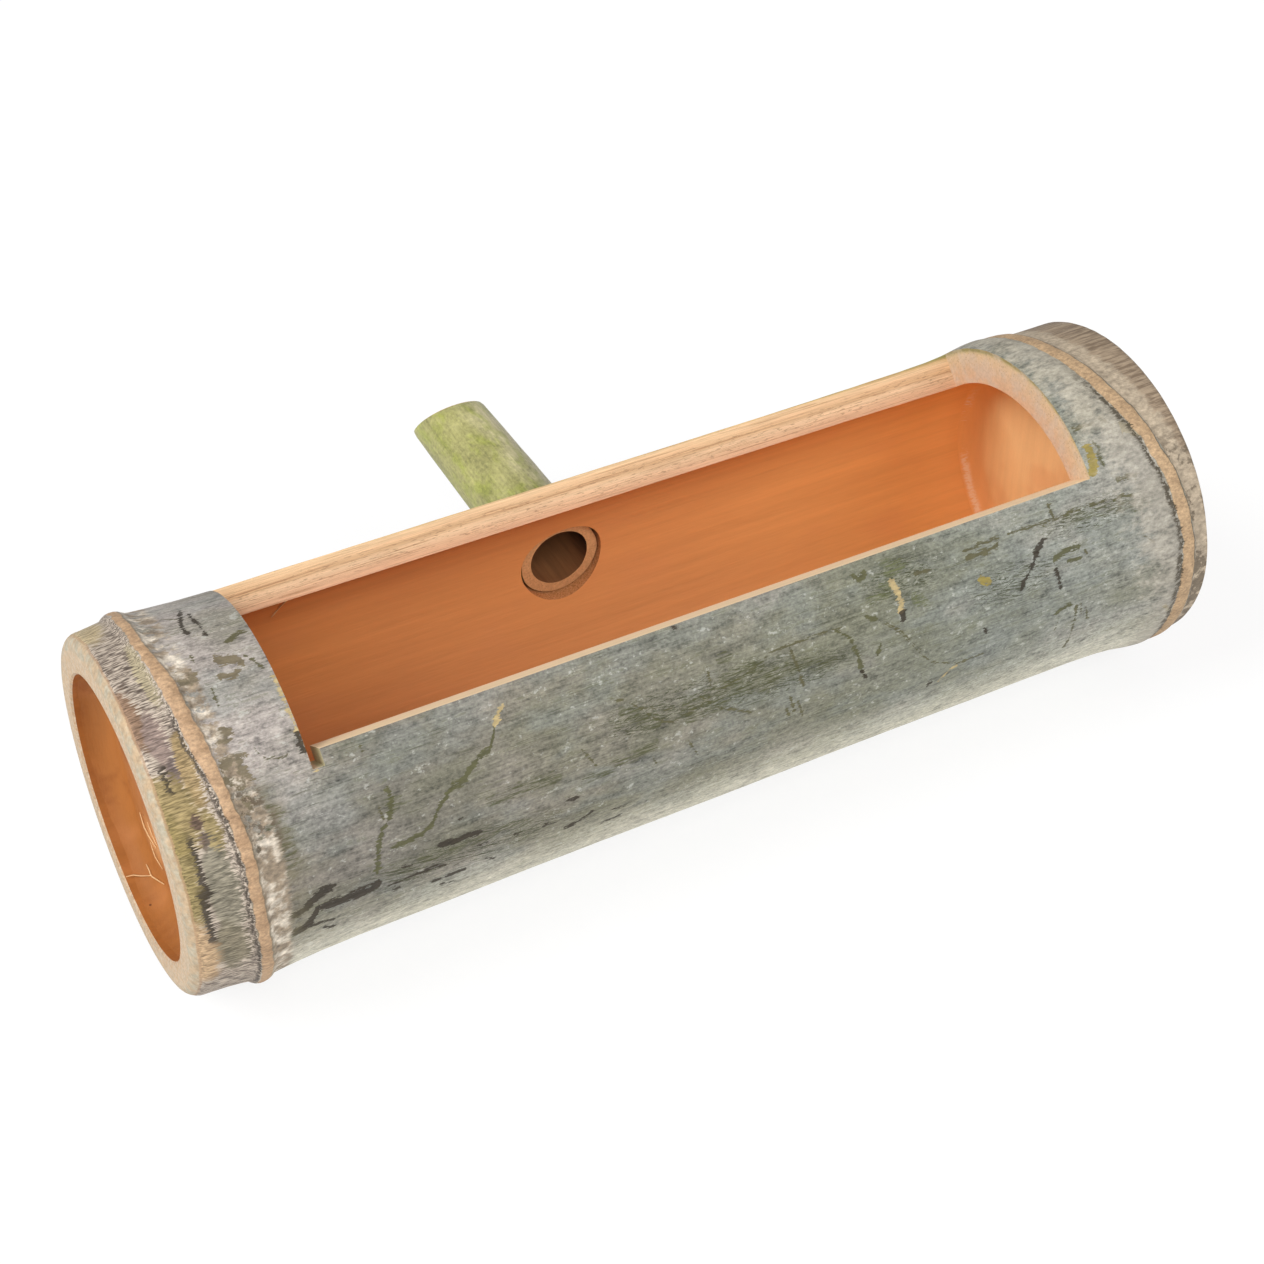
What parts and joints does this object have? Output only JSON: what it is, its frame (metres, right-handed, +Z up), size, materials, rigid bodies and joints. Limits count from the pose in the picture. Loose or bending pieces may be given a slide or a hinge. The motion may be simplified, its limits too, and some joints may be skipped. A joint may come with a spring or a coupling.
{
  "type": "bamboo fountain",
  "caption": "Fountain trough made of a thick grey bamboo cane, with a long window in its upper side and a thin cane outlet tube pushed through its back wall.",
  "frame": {"origin": "on the ground, straight under the culm's axis, half way along the culm", "axes": "+X along the culm towards the plant's base, +Y out along the outlet tube, +Z up out of the window"},
  "size_m": [0.3067, 0.1714, 0.1006],
  "materials": {
    "culm": "old bamboo skin under a grey wax bloom, orange inside, pale where it is cut",
    "septum": "smooth orange bamboo pith",
    "thin_cane": "pale yellow green cane skin with grey mottling"
  },
  "bodies": {
    "culm": {"culm_wall": "culm", "left_septum": "septum", "right_septum": "septum"},
    "outlet": {"outlet_tube": "thin_cane"}
  },
  "joints": [
    {"name": "outlet_tube_slide", "type": "slide", "parent": "culm", "child": "outlet", "axis": [0, 1, 0], "range_m": [-0.015, 0.005]}
  ]
}
